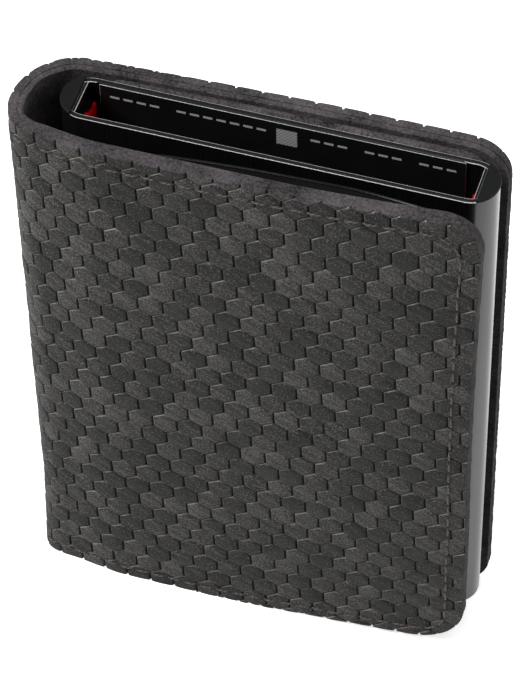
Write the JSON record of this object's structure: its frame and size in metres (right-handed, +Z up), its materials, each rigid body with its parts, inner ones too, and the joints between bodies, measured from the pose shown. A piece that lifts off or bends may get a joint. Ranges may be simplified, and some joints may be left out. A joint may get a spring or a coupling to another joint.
{
  "type": "slim card wallet",
  "caption": "Slim embossed leather wallet wrapped round an aluminium card tube with a stepped ejector lever and a flap that folds open on its spine.",
  "frame": {"origin": "centre of the foot of the closed wallet, on the surface it stands on", "axes": "+X across the wallet from the spine to the free edge, +Y from the flap to the rear panel, +Z up the cards to the mouth"},
  "size_m": [0.07, 0.0184, 0.1],
  "materials": {
    "embossed_leather": "matt nubuck embossed with hexagon tiles",
    "suede_lining": "suede",
    "pocket_leather": "smooth with painted edges",
    "thread": "twisted polyester thread",
    "anodised_aluminium": "black anodised, glossy, with bright cut edges",
    "black_plastic": "fine matt",
    "plate_plastic": "satin with light grey marks",
    "foam": "open cell foam",
    "red_felt": "felt",
    "adhesive": "bonding sheet",
    "pin_steel": "ground"
  },
  "bodies": {
    "protector": {"housing_tube": "anodised_aluminium", "mouth_plug_left": "black_plastic", "mouth_plug_right": "black_plastic", "pad_foam_left": "foam", "pad_foam_right": "foam", "pad_felt_left": "red_felt", "pad_felt_right": "red_felt", "inner_plate": "plate_plastic", "base_cap": "black_plastic", "pivot_pin": "pin_steel", "bonding_pad": "adhesive", "rear_pocket": "embossed_leather", "rear_lining": "suede_lining", "rear_panel": "embossed_leather", "rear_stitching": "thread"},
    "lever": {"ejector_lever": "black_plastic"},
    "spine": {"spine_lining": "suede_lining", "spine_panel": "embossed_leather"},
    "flap": {"flap_panel": "embossed_leather", "flap_lining": "suede_lining", "flap_pocket_back": "suede_lining", "flap_pocket_front": "pocket_leather", "flap_stitching": "thread"}
  },
  "joints": [
    {"name": "lever_press", "type": "hinge", "parent": "protector", "child": "lever", "pos_m": [0.026, 0.0009, 0.0075], "axis": [0, 1, 0], "range_deg": [0, 25]},
    {"name": "spine_fold", "type": "hinge", "parent": "protector", "child": "spine", "pos_m": [-0.0331, 0.0073, 0.05], "axis": [0, 0, -1], "range_deg": [0, 90]},
    {"name": "flap_fold", "type": "hinge", "parent": "spine", "child": "flap", "pos_m": [-0.03368, -0.00788, 0.05], "axis": [0, 0, -1], "range_deg": [0, 90]}
  ],
  "couplings": [
    {"joint": "flap_fold", "follows": "spine_fold", "ratio": 1}
  ]
}
